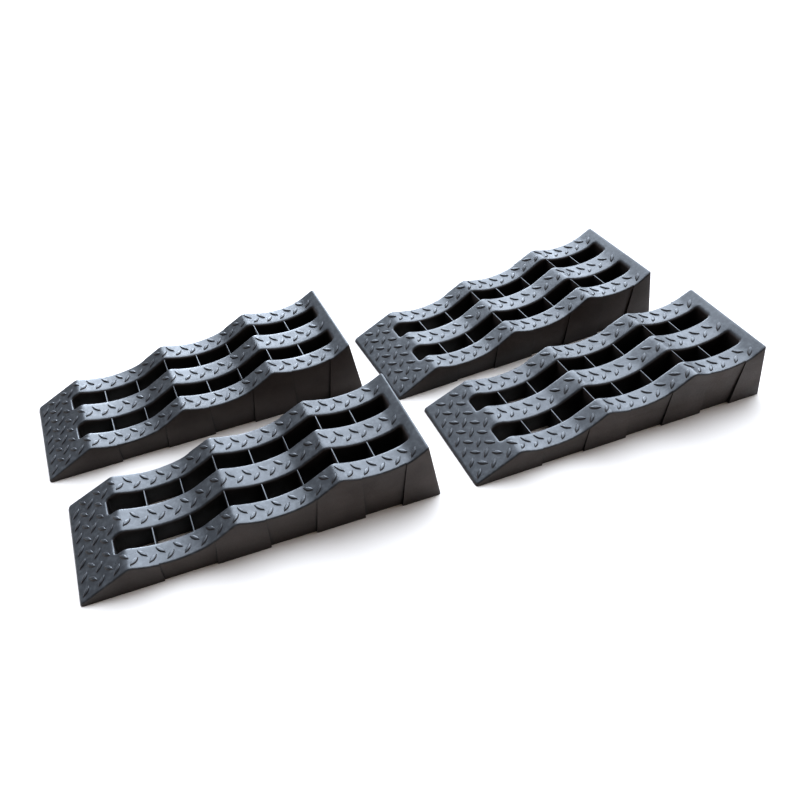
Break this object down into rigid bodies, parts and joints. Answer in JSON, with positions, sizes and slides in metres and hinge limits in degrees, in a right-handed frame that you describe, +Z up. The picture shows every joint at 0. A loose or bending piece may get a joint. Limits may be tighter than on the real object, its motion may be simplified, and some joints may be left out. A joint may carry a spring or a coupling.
{
  "type": "leveling block set",
  "caption": "Set of black plastic leveling ramps, each with stepped wheel cradles, slotted rails and raised tread lugs.",
  "frame": {"origin": "on the ground at the middle of the four ramps laid out side by side and end to end", "axes": "+X along the ramps from their low noses to their high heels, +Z up"},
  "size_m": [1.1954, 0.5106, 0.102],
  "materials": {
    "moulding": "satin black moulded plastic with a fine grain"
  },
  "bodies": {
    "ramp_front_left": {"ramp_front_left": "moulding"},
    "ramp_back_left": {"ramp_back_left": "moulding"},
    "ramp_front_right": {"ramp_front_right": "moulding"},
    "ramp_back_right": {"ramp_back_right": "moulding"}
  },
  "joints": [
    {"name": "back_left_lift", "type": "slide", "parent": "ramp_front_left", "child": "ramp_back_left", "axis": [0, 0, 1], "range_m": [0, 0.3]},
    {"name": "front_right_lift", "type": "slide", "parent": "ramp_front_left", "child": "ramp_front_right", "axis": [0, 0, 1], "range_m": [0, 0.3]},
    {"name": "back_right_lift", "type": "slide", "parent": "ramp_front_left", "child": "ramp_back_right", "axis": [0, 0, 1], "range_m": [0, 0.3]}
  ]
}
